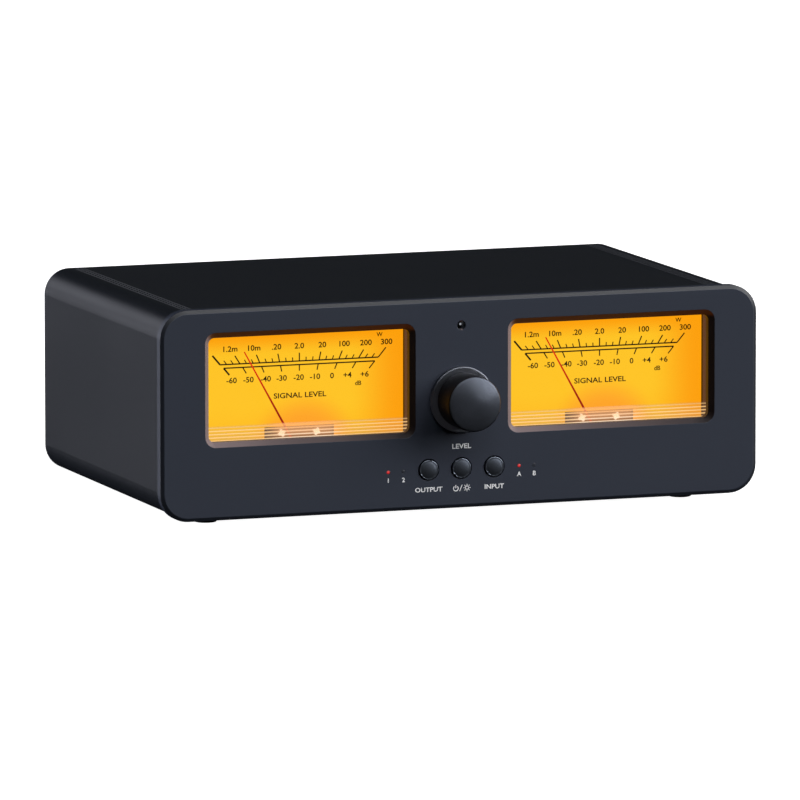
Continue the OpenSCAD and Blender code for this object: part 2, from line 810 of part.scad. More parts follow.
case_shell();
front_panel();
front_frame();
rear_panel();
feet();
foot_screws();
case_screws();
rear_screws();
pan_screws();
knob();
knob_screw();
knob_collar();
control_body();
control_shaft();
control_nut();
button_left();
button_middle();
button_right();
switch_bodies();
control_board();
indicator_leds();
lit_pipes();
unlit_pipes();
microphone();
main_board();
board_standoffs();
relays();
headers();
ribbon_cable();
red_sockets();
black_sockets();
socket_cores();
socket_nuts();
power_jack();
left_cover();
right_cover();
left_meter_case();
right_meter_case();
left_dial();
right_dial();
left_diffuser();
right_diffuser();
left_lamp_board();
right_lamp_board();
left_frame();
right_frame();
left_yoke();
right_yoke();
left_core();
right_core();
left_coil();
right_coil();
left_staff();
right_staff();
left_needle();
right_needle();
movement_screws();
bridges();
jewel_screws();
hairsprings();
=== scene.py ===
# Looks of a desktop box with two needle meters, a knob and three push buttons.
import math

import bmesh
import bpy
from mathutils import Matrix, Vector


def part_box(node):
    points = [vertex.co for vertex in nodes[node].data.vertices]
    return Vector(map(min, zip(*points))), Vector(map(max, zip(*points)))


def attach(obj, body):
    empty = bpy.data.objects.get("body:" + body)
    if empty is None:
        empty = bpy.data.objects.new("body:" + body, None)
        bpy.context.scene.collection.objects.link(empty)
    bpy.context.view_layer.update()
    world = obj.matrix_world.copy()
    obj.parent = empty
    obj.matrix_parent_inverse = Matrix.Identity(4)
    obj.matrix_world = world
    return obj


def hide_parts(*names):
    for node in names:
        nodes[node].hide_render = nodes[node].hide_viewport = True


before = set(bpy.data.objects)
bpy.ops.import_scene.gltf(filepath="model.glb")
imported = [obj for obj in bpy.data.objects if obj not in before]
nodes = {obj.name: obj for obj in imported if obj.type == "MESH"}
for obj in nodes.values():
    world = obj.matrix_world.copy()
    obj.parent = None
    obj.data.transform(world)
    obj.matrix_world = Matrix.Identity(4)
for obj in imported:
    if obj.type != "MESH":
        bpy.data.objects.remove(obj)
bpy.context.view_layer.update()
rootBody = "box"

# The panel's own frame in millimetres: y is 0 on the panel's face, z is 0 on its lower edge
mm = 0.001
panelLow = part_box("front_panel")[0]
faceY, edgeZ = panelLow.y / mm, panelLow.z / mm
toWorld = Matrix.Scale(mm, 4) @ Matrix.Translation((0, faceY, edgeZ))
meterX = {"left": -63.1, "right": 63.1}


def placed(name, data):
    thing = bpy.data.objects.new(name, data)
    bpy.context.scene.collection.objects.link(thing)
    return thing


def shaded(colour, share):
    return tuple(c * share for c in colour)


# The value of a node's socket: sums of such values build the nodes that work them out
class Wire:
    def __init__(self, paint, socket):
        self.paint = paint
        self.socket = socket

    def sum(self, operation, first, second=0.0):
        return self.paint.add("Math", {"operation": operation}, [first, second])

    def __add__(self, other):
        return self.sum("ADD", self, other)

    def __radd__(self, other):
        return self.sum("ADD", other, self)

    def __sub__(self, other):
        return self.sum("SUBTRACT", self, other)

    def __rsub__(self, other):
        return self.sum("SUBTRACT", other, self)

    def __mul__(self, other):
        return self.sum("MULTIPLY", self, other)

    def __rmul__(self, other):
        return self.sum("MULTIPLY", other, self)

    def __pow__(self, other):
        return self.sum("POWER", self, other)

    def size(self):
        return self.sum("ABSOLUTE", self)

    def root(self):
        return self.sum("SQRT", self)

    def angle(self, other):
        return self.sum("ARCTAN2", self, other)

    def wave(self):
        return self.sum("SINE", self)

    def least(self, other):
        return self.sum("MINIMUM", self, other)

    # Eases from start to end while the value goes from low to high, which may be the smaller one
    def ramp(self, low, high, start=0.0, end=1.0):
        settings = {"interpolation_type": "SMOOTHSTEP", "clamp": True}
        return self.paint.add("MapRange", settings, [self, low, high, start, end])


# Distance from an axis, out of the two coordinates across it
def radiusOf(first, second):
    return (first * first + second * second).root()


# A material about one Principled shader
class Paint:
    def __init__(self, name, **sockets):
        self.material = bpy.data.materials.new(name)
        self.material.use_nodes = True
        self.tree = self.material.node_tree
        self.shader = self.tree.nodes["Principled BSDF"]
        self.set(**sockets)

    def feed(self, socket, value):
        if isinstance(value, Wire):
            self.tree.links.new(value.socket, socket)
        elif isinstance(value, tuple) and socket.type == "RGBA" and len(value) == 3:
            socket.default_value = (*value, 1.0)
        else:
            socket.default_value = value

    def set(self, **sockets):
        for name, value in sockets.items():
            self.feed(self.shader.inputs[name.replace("_", " ")], value)

    # The one way to any node: its settings are set first, then the values or links of its sockets
    def add(self, kind, settings, values, output=0):
        node = self.tree.nodes.new("ShaderNode" + kind)
        for name, value in settings.items():
            setattr(node, name, value)
        pairs = values.items() if isinstance(values, dict) else enumerate(values)
        for socket, value in pairs:
            self.feed(node.inputs[socket], value)
        return Wire(self, node.outputs[output])

    # Coordinates in millimetres in the panel's frame, about a centre
    def place(self, centre=(0, 0, 0)):
        spot = self.add("TexCoord", {}, {}, "Object")
        start = (-centre[0], -faceY - centre[1], -edgeZ - centre[2])
        return self.add("Mapping", {}, {"Vector": spot, "Scale": (1 / mm,) * 3, "Location": start})

    def axes(self, spot):
        split = self.add("SeparateXYZ", {}, [spot]).socket.node
        return [Wire(self, output) for output in split.outputs]

    # Distance across from the middle of the nearer meter
    def acrossMeter(self, x):
        return x - meterX["left"] + x.ramp(-1, 1) * (meterX["left"] - meterX["right"])

    def grain(self, spot, scale, detail=2.0, stretch=None):
        if stretch:
            spot = self.add("Mapping", {}, {"Vector": spot, "Scale": stretch})
        return self.add("TexNoise", {}, {"Vector": spot, "Scale": scale, "Detail": detail})

    def blend(self, factor, first, second):
        return self.add("Mix", {"data_type": "RGBA"}, {0: factor, 6: first, 7: second}, 2)

    def bump(self, height, depth, strength=1.0):
        return self.add("Bump", {}, {"Height": height, "Distance": depth, "Strength": strength})


# Turns a shape in the panel's millimetres into a piece that rides on a body
def newPiece(bm, name, paint, body=rootBody, standsFor=(), smooth=32.0):
    bm.transform(toWorld)
    mesh = bpy.data.meshes.new(name)
    bm.to_mesh(mesh)
    bm.free()
    piece = placed(name, mesh)
    mesh.materials.append(paint.material)
    if smooth:
        mesh.shade_smooth()
        mesh.set_sharp_from_angle(angle=math.radians(smooth))
        evened = piece.modifiers.new("evened", "WEIGHTED_NORMAL")
        evened.weight = 100
        evened.keep_sharp = True
    else:
        mesh.shade_flat()
    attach(piece, body)
    if standsFor:
        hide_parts(*standsFor)
    return piece


# Paints CAD nodes that stay as they are
def coat(paint, *names):
    for name in names:
        nodes[name].data.materials.clear()
        nodes[name].data.materials.append(paint.material)


# Rounds the edges that are sharper than least degrees
def easeEdges(bm, radius, least, segments=2):
    angle = math.radians(least)
    edges = [e for e in bm.edges if len(e.link_faces) == 2 and e.calc_face_angle(0) > angle]
    bmesh.ops.bevel(bm, geom=edges, offset=radius, offset_type="OFFSET", segments=segments,
                    profile=0.5, affect="EDGES", clamp_overlap=True, material=-1)


# A copy of a CAD node in millimetres with its flat faces whole again and its edges eased
def easedCopy(node, radius=0.0, least=25.0, segments=2):
    bm = bmesh.new()
    bm.from_mesh(nodes[node].data)
    bm.transform(toWorld.inverted())
    bmesh.ops.remove_doubles(bm, verts=bm.verts, dist=0.002)
    bmesh.ops.dissolve_limit(bm, angle_limit=math.radians(0.5), verts=bm.verts, edges=bm.edges)
    if radius:
        easeEdges(bm, radius, least, segments)
    return bm


def merged(parts):
    whole = bmesh.new()
    for part in parts:
        mesh = bpy.data.meshes.new("part")
        part.to_mesh(mesh)
        part.free()
        whole.from_mesh(mesh)
        bpy.data.meshes.remove(mesh)
    return whole


# Print is made of thin solids, in millimetres
printDeep = 0.04
capitalTall = 0.682  # height of a capital letter at size 1
upright = Matrix.Rotation(math.radians(90), 4, "X")  # a drawing on the X-Y plane then faces -Y
turned = Matrix.Rotation(math.radians(180), 4, "Z")


def newVerts(result):
    return [v for v in result["geom"] if isinstance(v, bmesh.types.BMVert)]


def thicken(bm, way):
    bulk = bmesh.ops.extrude_face_region(bm, geom=bm.faces[:])
    bmesh.ops.translate(bm, verts=newVerts(bulk), vec=way)


# A flat bar from one point of the X-Z plane to another
def stroke(start, end, width, y):
    bm = bmesh.new()
    a, b = Vector((start[0], 0, start[1])), Vector((end[0], 0, end[1]))
    side = (b - a).normalized().cross(Vector((0, 1, 0))) * width / 2
    bm.faces.new([bm.verts.new(p) for p in (a - side, b - side, b + side, a + side)])
    thicken(bm, (0, printDeep, 0))
    bmesh.ops.translate(bm, verts=bm.verts, vec=(0, y, 0))
    bmesh.ops.recalc_face_normals(bm, faces=bm.faces)
    return bm


# Part of a ring in the X-Z plane, from one angle to another, counted from +X towards +Z
def arc(x, z, radius, width, start, end, y):
    bm = bmesh.new()
    inner, outer = radius - width / 2, radius + width / 2
    corners = ((inner, 0), (outer, 0), (outer, printDeep), (inner, printDeep))
    face = bm.faces.new([bm.verts.new((r, y + d, 0)) for r, d in corners])
    first = Matrix.Rotation(math.radians(-start), 3, "Y")
    bmesh.ops.rotate(bm, verts=bm.verts, cent=(0, 0, 0), matrix=first)
    whole = end - start >= 360
    bmesh.ops.spin(bm, geom=[face, *face.edges, *face.verts], axis=(0, -1, 0), cent=(0, 0, 0),
                   angle=math.radians(end - start), steps=28, use_merge=whole,
                   use_duplicate=False)
    if whole:
        bmesh.ops.delete(bm, geom=[f for f in bm.faces if f == face], context="FACES_ONLY")
    bmesh.ops.recalc_face_normals(bm, faces=bm.faces)
    bmesh.ops.translate(bm, verts=bm.verts, vec=(x, 0, z))
    return bm


# Words whose capitals are tall mm high and whose middle is at (x, z), facing +Y for back
def words(text, tall, x, z, y, back=False, stretch=1.0, weight=0.0):
    curve = bpy.data.curves.new("words", "FONT")
    curve.body = text
    curve.align_x = "CENTER"
    curve.resolution_u = 3
    curve.offset = weight
    holder = placed("words", curve)
    bpy.context.view_layer.update()
    shown = holder.evaluated_get(bpy.context.evaluated_depsgraph_get())
    mesh = bpy.data.meshes.new_from_object(shown)
    bpy.data.objects.remove(holder)
    bpy.data.curves.remove(curve)
    bm = bmesh.new()
    bm.from_mesh(mesh)
    bpy.data.meshes.remove(mesh)
    bmesh.ops.remove_doubles(bm, verts=bm.verts, dist=1e-5)
    size = tall / capitalTall
    bmesh.ops.scale(bm, vec=(size * stretch, size, 1), verts=bm.verts)
    bmesh.ops.translate(bm, verts=bm.verts, vec=(0, -tall / 2, 0))
    thicken(bm, (0, 0, printDeep))
    bmesh.ops.recalc_face_normals(bm, faces=bm.faces)
    bm.transform(upright)
    if back:
        bm.transform(turned)
    bmesh.ops.translate(bm, verts=bm.verts, vec=(x, y + (0 if back else printDeep), z))
    return bm


# Unit vector for a turn from the front towards +X and a rise, both in degrees
def wayTo(turn, rise):
    turn, rise = math.radians(turn), math.radians(rise)
    flat = math.cos(rise)
    return Vector((math.sin(turn) * flat, -math.cos(turn) * flat, math.sin(rise)))


print("camera")
cameraView = {
    "turn": -19.7809,
    "rise": 7.9551,
    "roll": -0.0422,
    "lens": 530.41,
    "sensor": 36,
    "distance": 4637.2,
    "target": (-25.7284, 0, 44.1495),
    "clip": (0.1, 40),
}


def makeCamera():
    view = cameraView
    back = wayTo(view["turn"], view["rise"])
    data = bpy.data.cameras.new("camera")
    data.sensor_width = view["sensor"]
    data.lens = view["lens"]
    data.clip_start, data.clip_end = view["clip"]
    camera = placed("camera", data)
    aim = (-back).to_track_quat("-Z", "Y").to_matrix().to_4x4()
    aim = aim @ Matrix.Rotation(math.radians(view["roll"]), 4, "Z")
    stand = toWorld @ Vector(view["target"]) + back * view["distance"] * mm
    camera.matrix_world = Matrix.Translation(stand) @ aim
    bpy.context.scene.camera = camera


makeCamera()

print("light")
lightLook = {
    "aim": (0, 0, 0.045),
    "distance": 4.0,
    "coolBehind": (0.87, 0.89, 1.0),  # colour of the lamps beyond the two sides
    # turn from the front towards +X, rise, width and height in metres, power
    "lamps": {
        "key": (60, 20, (1.6, 2.1), 100.0),
        "keyHigh": (30, 45, (1.6, 1.6), 49.0),
        "keyMiddle": (45, 30, (1.6, 1.6), 27.0),
        "fill": (-10, 45, (1.6, 1.6), 34.0),
        "sideWide": (-120, 3, (2.0, 0.8), 150.0),
        "sideBack": (-135, 3, (2.0, 0.8), 14.0),
        "sideHigh": (-160, 15, (1.2, 1.2), 5.4),
        "back": (160, 3, (1.6, 0.4), 0.25),
    },
}


def makeLights():
    look = lightLook
    for name, (turn, rise, size, power) in look["lamps"].items():
        data = bpy.data.lights.new(name, "AREA")
        data.shape = "RECTANGLE"
        data.size, data.size_y = size
        data.energy = power
        if abs(turn) > 90:
            data.color = look["coolBehind"]
        lamp = placed(name, data)
        way = wayTo(turn, rise)
        aim = way.to_track_quat("Z", "Y").to_matrix().to_4x4()
        stand = Vector(look["aim"]) + way * look["distance"]
        lamp.matrix_world = Matrix.Translation(stand) @ aim
        lamp.visible_camera = False


makeLights()

airLook = {"way": (0.3, -0.7, 0.65), "bright": 0.006, "dim": 0.001, "edge": (-0.3, 0.9)}


# Pale backdrop for the camera; the light it gives is a broad soft one from the front and above
def makeAir():
    look = airLook
    world = bpy.data.worlds.new("studio")
    world.use_nodes = True
    bpy.context.scene.world = world
    air = world.node_tree
    background = air.nodes["Background"]
    background.inputs["Color"].default_value = (1, 1, 1, 1)
    facing = air.nodes.new("ShaderNodeVectorMath")
    facing.operation = "DOT_PRODUCT"
    spot = air.nodes.new("ShaderNodeTexCoord")
    air.links.new(spot.outputs["Generated"], facing.inputs[0])
    facing.inputs[1].default_value = Vector(look["way"]).normalized()
    soft = air.nodes.new("ShaderNodeMapRange")
    soft.interpolation_type = "SMOOTHSTEP"
    for name, value in (("From Min", look["edge"][0]), ("From Max", look["edge"][1]),
                        ("To Min", look["dim"]), ("To Max", look["bright"])):
        soft.inputs[name].default_value = value
    air.links.new(facing.outputs["Value"], soft.inputs["Value"])
    seen = air.nodes.new("ShaderNodeMapRange")
    path = air.nodes.new("ShaderNodeLightPath")
    air.links.new(path.outputs["Is Camera Ray"], seen.inputs["Value"])
    air.links.new(soft.outputs[0], seen.inputs["To Min"])
    air.links.new(seen.outputs[0], background.inputs["Strength"])


makeAir()
bpy.context.scene.view_settings.view_transform = "Standard"

floorLook = {"white": (0.8, 0.8, 0.8), "roughness": 0.9, "glow": (1, 1, 1), "half": 6.0, "cells": 8}


def makeFloor():
    look = floorLook
    paint = Paint("floorWhite", Base_Color=look["white"], Roughness=look["roughness"],
                  Emission_Color=look["glow"], Emission_Strength=1.0)
    bm = bmesh.new()
    bmesh.ops.create_grid(bm, x_segments=look["cells"], y_segments=look["cells"], size=look["half"])
    mesh = bpy.data.meshes.new("floor")
    bm.to_mesh(mesh)
    bm.free()
    floor = placed("floor", mesh)
    mesh.materials.append(paint.material)
    floor.visible_glossy = False
    floor.visible_diffuse = False


makeFloor()

# Finishes that several pieces share. Scales are grains to the millimetre, depths are millimetres
metalLook = {"dark": 0.86, "depth": 0.004, "strength": 0.5}
plasticLook = {"light": 1.25, "cloud": 0.08, "cloudShare": 0.6, "cloudRough": 0.05,
               "pitShare": 0.4, "pitRough": 0.1, "strength": 0.4}


def metalPaint(name, colour, rough, spread=0.08, scale=2.0):
    look = metalLook
    paint = Paint(name, Metallic=1.0)
    fine = paint.grain(paint.place(), scale, 3.0)
    tone = paint.blend(fine, shaded(colour, look["dark"]), colour)
    paint.set(Base_Color=tone, Roughness=rough + (fine - 0.5) * spread,
              Normal=paint.bump(fine, look["depth"] * mm, look["strength"]))
    return paint


def plasticPaint(name, colour, rough, scale=2.5, depth=0.006):
    look = plasticLook
    paint = Paint(name)
    spot = paint.place()
    pits = paint.grain(spot, scale)
    cloud = paint.grain(spot, look["cloud"])
    mixed = cloud * look["cloudShare"] + pits * look["pitShare"]
    tone = paint.blend(mixed, colour, shaded(colour, look["light"]))
    uneven = rough + (pits - 0.5) * look["pitRough"] + cloud * look["cloudRough"]
    paint.set(Base_Color=tone, Roughness=uneven,
              Normal=paint.bump(pits, depth * mm, look["strength"]))
    return paint


print("casing")
casingLook = {
    "colour": (0.0100, 0.0119, 0.0154),
    "light": 1.3,
    "roughness": 0.31,
    "uneven": 0.05,
    "speckle": 3.2,
    "broad": 0.015,
    "drawn": 2.2,  # fine lines along the extrusion
    "drawnStretch": (1, 0.012, 1),
    "depth": 0.008,
    "strength": 0.3,
    "easing": 0.35,
    # Three cut lines at each side of the top, each with a painted highlight, fainter on the right
    "grooveMid": 110.1,
    "grooveGap": 1.7,
    "grooveHalf": 0.4,
    "grooveSoft": 0.1,
    "grooveFrom": (70, 72),
    "grooveHighlightRight": 0.6,
    "grooveHighlightColour": (0.040, 0.042, 0.048),
}


def casingPaint(name, withGrooveHighlights):
    look = casingLook
    paint = Paint(name, Specular_IOR_Level=0.35)
    spot = paint.place()
    drawn = paint.grain(spot, look["drawn"], stretch=look["drawnStretch"])
    speckle = paint.grain(spot, look["speckle"])
    broad = paint.grain(spot, look["broad"])
    mixed = speckle * 0.5 + drawn * 0.5
    tone = paint.blend(mixed, look["colour"], shaded(look["colour"], look["light"]))
    rough = look["roughness"] + broad * look["uneven"] + speckle * look["uneven"]
    relief = speckle * 0.6 + drawn * 0.4
    paint.set(Base_Color=tone, Roughness=rough,
              Normal=paint.bump(relief, look["depth"] * mm, look["strength"]))
    # Painted highlight: the cut lines on the top glow faintly, in place of light caught on their
    # edges
    if withGrooveHighlights:
        x, _, z = paint.axes(spot)
        across = (x.size() - look["grooveMid"]).size()
        nearest = across.least((across - look["grooveGap"]).size())
        half, soft = look["grooveHalf"], look["grooveSoft"]
        grooveHighlight = nearest.ramp(half + soft, half - soft) * z.ramp(*look["grooveFrom"])
        grooveHighlight = grooveHighlight * x.ramp(-1, 1, 1.0, look["grooveHighlightRight"])
        paint.set(Emission_Color=paint.blend(grooveHighlight, (0, 0, 0), look["grooveHighlightColour"]),
                  Emission_Strength=1.0)
    return paint


coat(casingPaint("anodisedCasing", True), "case_shell")
newPiece(easedCopy("rear_panel", casingLook["easing"], 40), "rear_plate",
         casingPaint("anodisedRear", False), standsFor=["rear_panel"])

print("front panel")
panelLook = {
    "colour": (0.030, 0.036, 0.053),
    "light": 1.12,
    "roughness": 0.42,
    "uneven": 0.06,
    "speckle": 2.6,
    "speckleEdge": (0.3, 0.7),
    "broad": 0.02,
    "depth": 0.01,
    "strength": 0.35,
    "easing": 0.16,
    "face": (0.05, 0.12),  # depths over which the flat face gives way to bevels
    # Painted shade: the outer edge's bevel is painted darker than the face
    "bevel": (0.014, 0.017, 0.025),  # of the outer edge
    "bevelEnd": (1.3, 1.1),
    # The openings' chamfers are painted with light and shade: a painted highlight at the left,
    # painted shade at the right, and a painted warm reflection and glow of the dial above
    "openingZ": 51.75,
    "openingX": (47, 46),
    "openingUp": (26, 25),
    "cutDeep": 2.0,
    "cutEnd": (2.4, 2.1),
    "cutHighlight": (0.20, 0.155, 0.165),
    "cutShade": (0.010, 0.007, 0.009),
    "cutDialReflection": (0.05, 0.018, 0.010),
    "cutDialGlow": (0.026, 0.006, 0.001),
    "above": (19, 21),
    "aboveFrom": (-43, -40),
    # How the light changes across an opening: from and to in mm, with the share at each
    "fade": ((-44, 0, 1.0, 0.4), (-5, 39, 1.0, 0.3), (41, 34, 0.0, 1.0)),
    # The upper and left chamfers stand further in than the solid's: so much at the face, and so
    # much more at their foot. Half is the opening's own half size, reach takes in its chamfers
    "reach": (46, 24),
    "half": (43, 22),
    "leftIn": (0.4, 0.1),
    "topIn": (0.4, 0.4),
}


def panelPaint():
    look = panelLook
    paint = Paint("anodisedPanel", Specular_IOR_Level=0.35)
    spot = paint.place()
    fine = paint.grain(spot, look["speckle"], 3.0)
    broad = paint.grain(spot, look["broad"])
    light = shaded(look["colour"], look["light"])
    tone = paint.blend(fine.ramp(*look["speckleEdge"]), look["colour"], light)
    x, y, z = paint.axes(spot)
    across, up = paint.acrossMeter(x), z - look["openingZ"]
    opening = across.size().ramp(*look["openingX"]) * up.size().ramp(*look["openingUp"])
    cut = opening * y.ramp(*look["face"]) * y.ramp(*look["cutEnd"])
    # Painted shade on the outer bevel
    bevel = (1 - opening) * y.ramp(*look["face"]) * y.ramp(*look["bevelEnd"])
    tone = paint.blend(bevel, tone, look["bevel"])
    # Painted highlight and shade across each opening's chamfers; above, a painted reflection and
    # glow of the dial
    left, middle, right = look["fade"]
    lit = across.ramp(*left) * across.ramp(*middle) * across.ramp(*right)
    shade = paint.blend(lit, look["cutShade"], look["cutHighlight"])
    above = opening * up.ramp(*look["above"])
    shade = paint.blend(above * across.ramp(*look["aboveFrom"]), shade, look["cutDialReflection"])
    paint.set(Base_Color=paint.blend(cut, tone, shade),
              Roughness=look["roughness"] + broad * look["uneven"],
              Emission_Color=paint.blend(cut * above, (0, 0, 0), look["cutDialGlow"]),
              Emission_Strength=1.0,
              Normal=paint.bump(fine, look["depth"] * mm, look["strength"]))
    return paint


def panelShape():
    look = panelLook
    bm = easedCopy("front_panel", look["easing"], 20)
    reachX, reachUp = look["reach"]
    halfX, halfUp = look["half"]
    for centre in meterX.values():
        for v in bm.verts:
            across, up = v.co.x - centre, v.co.z - look["openingZ"]
            deep = min(v.co.y / look["cutDeep"], 1)
            if abs(across) < reachX and abs(up) < reachUp:
                if across < 0:
                    inwards = look["leftIn"][0] + look["leftIn"][1] * deep
                    v.co.x = centre + across * (1 - inwards / halfX)
                if up > 0:
                    inwards = look["topIn"][0] + look["topIn"][1] * deep
                    v.co.z = look["openingZ"] + up * (1 - inwards / halfUp)
    return bm


panelAnodised = panelPaint()
newPiece(panelShape(), "panel_plate", panelAnodised, standsFor=["front_panel"], smooth=20)

print("panel print")
labelLook = {
    "y": -0.02,
    "white": (0.93, 0.94, 0.96),
    "dark": 0.9,
    "weight": 0.02,
    "stretch": 1.15,
    # Text with x, z and the height of its capitals
    "marks": (("1", -30.65, 12.3, 1.72), ("2", -24.3, 12.3, 1.72),
              ("A", 24.3, 12.3, 1.72), ("B", 30.65, 12.3, 1.72)),
    "words": (("OUTPUT", -13.75, 7.9, 1.72), ("INPUT", 13.75, 7.9, 1.72),
              ("LEVEL", 0, 24.6, 1.85)),
    # Power sign, slash and lamp sign under the middle button
    "signZ": 7.9,
    "powerX": -2.35,
    "powerRing": (1.0, 0.32, 125, 415),  # radius, line width, start and end in degrees
    "powerBar": 1.25,
    "slash": ((-0.75, -1.2), (0.35, 1.3)),
    "slashLine": 0.3,
    "lampX": 2.35,
    "lampRing": (0.68, 0.28, 0, 360),
    "lampRays": 8,
    "rayFrom": 1.0,
    "rayTo": 1.5,
}


def labelPaint():
    paint = Paint("panelPrint", Roughness=0.5)
    fine = paint.grain(paint.place(), 4.0)
    white = labelLook["white"]
    paint.set(Base_Color=paint.blend(fine, shaded(white, labelLook["dark"]), white))
    return paint


def panelPrint():
    look = labelLook
    y, weight = look["y"], look["weight"]
    parts = []
    for text, x, z, tall in look["marks"]:
        parts.append(words(text, tall, x, z, y, weight=weight))
    for text, x, z, tall in look["words"]:
        parts.append(words(text, tall, x, z, y, weight=weight, stretch=look["stretch"]))
    z, x = look["signZ"], look["powerX"]
    parts.append(arc(x, z - 0.1, *look["powerRing"], y))
    parts.append(stroke((x, z), (x, z + look["powerBar"]), look["powerRing"][1], y))
    start, end = [(across, z + up) for across, up in look["slash"]]
    parts.append(stroke(start, end, look["slashLine"], y))
    x = look["lampX"]
    parts.append(arc(x, z, *look["lampRing"], y))
    for turn in range(look["lampRays"]):
        angle = math.tau * turn / look["lampRays"]
        start, end = [(x + math.cos(angle) * far, z + math.sin(angle) * far)
                      for far in (look["rayFrom"], look["rayTo"])]
        parts.append(stroke(start, end, look["lampRing"][1], y))
    newPiece(merged(parts), "panel_print", labelInk, smooth=0)


labelInk = labelPaint()
panelPrint()

print("knob")
knobLook = {
    "colour": (0.132, 0.147, 0.182),
    "side": (0.035, 0.032, 0.034),
    "roughness": 0.4,
    "axisZ": 43.2,
    "reach": 16.9,
    "sideFrom": 1.5,
    "easing": 0.12,
    "crown": 1.2,
    "rim": 10.45,
    "rings": (10.0, 9.0, 7.8, 6.5, 5.2, 3.9, 2.6, 1.3),
    "collar": (0.21, 0.225, 0.265),
    "collarRoughness": 0.32,
    "collarEasing": 0.15,
    # Painted light: a weak glow on the collar's lower left stands in for light off the panel
    "collarPaintedLight": (0.0075, 0.0075, 0.009),
    "glowDown": (8, -1),
    "glowLeft": (0, -6),
    # Rings of the lathe, calmer near the middle: their pitch in mm, and the share of it and of
    # the height that a second set has
    "pitches": (0.12, 0.62),
    "depth": 0.0036,
    "calm": (0, 4.5, 0.35, 1.0),
    "bands": 1.3,
    "dark": 0.9,
    "uneven": 0.06,
}


# Metal turned on a lathe about the knob's axis; what lies behind edge has the side's colour
def turnedPaint(name, colour, rough, side=None, edge=0.0):
    look = knobLook
    paint = Paint(name, Metallic=1.0)
    x, y, z = paint.axes(paint.place((0, 0, look["axisZ"])))
    radius = radiusOf(x, z)
    bands = {"W": radius * look["bands"], "Scale": 1.0, "Detail": 3.0}
    bands = paint.add("TexNoise", {"noise_dimensions": "1D"}, bands)
    pitch, second = look["pitches"]
    rings = (radius * (math.tau / pitch)).wave()
    rings = rings + (radius * (math.tau / pitch / second)).wave() * second
    rings = rings * radius.ramp(*look["calm"])
    grain = paint.grain(paint.place(), 3.0, 1.0)
    tone = paint.blend(bands, shaded(colour, look["dark"]), colour)
    if side:
        tone = paint.blend(y.ramp(edge - 0.1, edge + 0.1), tone, side)
    paint.set(Base_Color=tone, Roughness=rough + (grain - 0.5) * look["uneven"],
              Normal=paint.bump(rings, look["depth"] * mm))
    return paint


# The front is made anew as a smooth crown of rings, from the rim inwards
def knobShape():
    look = knobLook
    bm = easedCopy("knob")
    back = look["crown"] - look["reach"] + 0.02
    front = [f for f in bm.faces if all(v.co.y < back for v in f.verts)]
    bmesh.ops.delete(bm, geom=front, context="FACES")
    for ring in look["rings"]:
        edges = [e for e in bm.edges if e.is_boundary]
        for v in newVerts(bmesh.ops.extrude_edge_only(bm, edges=edges)):
            radius = math.hypot(v.co.x, v.co.z - look["axisZ"])
            v.co.x *= ring / radius
            v.co.z = look["axisZ"] + (v.co.z - look["axisZ"]) * ring / radius
            v.co.y = -look["reach"] + look["crown"] * (ring / look["rim"]) ** 2
    hole = [e for e in bm.edges if e.is_boundary]
    middle = bmesh.ops.contextual_create(bm, geom=hole)["faces"]
    apex = bmesh.ops.poke(bm, faces=middle)["verts"][0]
    apex.co.y = -look["reach"]
    bmesh.ops.recalc_face_normals(bm, faces=bm.faces)
    easeEdges(bm, look["easing"], 30)
    return bm


knobMetal = turnedPaint("turnedKnob", knobLook["colour"], knobLook["roughness"],
                        knobLook["side"], knobLook["sideFrom"] - knobLook["reach"])
newPiece(knobShape(), "knob_cap", knobMetal, body="knob", standsFor=["knob"])


def collarPaint():
    look = knobLook
    paint = turnedPaint("turnedCollar", look["collar"], look["collarRoughness"])
    x, _, z = paint.axes(paint.place((0, 0, look["axisZ"])))
    # Painted light off the panel, a weak glow on the collar's lower left
    low = z.ramp(*look["glowDown"]) * x.ramp(*look["glowLeft"])
    paint.set(Emission_Color=paint.blend(low, (0, 0, 0), look["collarPaintedLight"]),
              Emission_Strength=1.0)
    return paint


newPiece(easedCopy("knob_collar", knobLook["collarEasing"], 30), "collar_ring", collarPaint(),
         standsFor=["knob_collar"])

print("buttons")
buttonLook = {
    "colour": (0.22, 0.25, 0.31),
    "roughness": 0.34,
    "uneven": 0.06,
    "grain": 3.5,
    "gap": 13.75,
    "z": 15.75,
    "radius": 3.95,
    "crown": 0.5,
    "out": 0.8,
    "rings": (0.4, 0.6, 0.8, 0.8, 0.8),
    "easing": 0.09,
}


def buttonShape(node, x):
    look = buttonLook
    bm = easedCopy(node)
    back = -look["out"] + 0.05

    # The flat front, a face with many corners
    def cap():
        return [f for f in bm.faces
                if len(f.verts) > 8 and all(v.co.y < back for v in f.verts)]

    for step in look["rings"]:
        bmesh.ops.inset_region(bm, faces=cap(), thickness=step, use_even_offset=True)
    bmesh.ops.poke(bm, faces=cap())
    for v in bm.verts:
        if v.co.y < back:
            radius = math.hypot(v.co.x - x, v.co.z - look["z"])
            v.co.y += look["crown"] * (radius / look["radius"]) ** 2
    easeEdges(bm, look["easing"], 35, 3)
    return bm


buttonMetal = metalPaint("buttonSatin", buttonLook["colour"], buttonLook["roughness"],
                         buttonLook["uneven"], buttonLook["grain"])
for side, step in (("left", -1), ("middle", 0), ("right", 1)):
    newPiece(buttonShape("button_" + side, step * buttonLook["gap"]), "push_cap_" + side,
             buttonMetal, body="button_" + side, standsFor=["button_" + side])

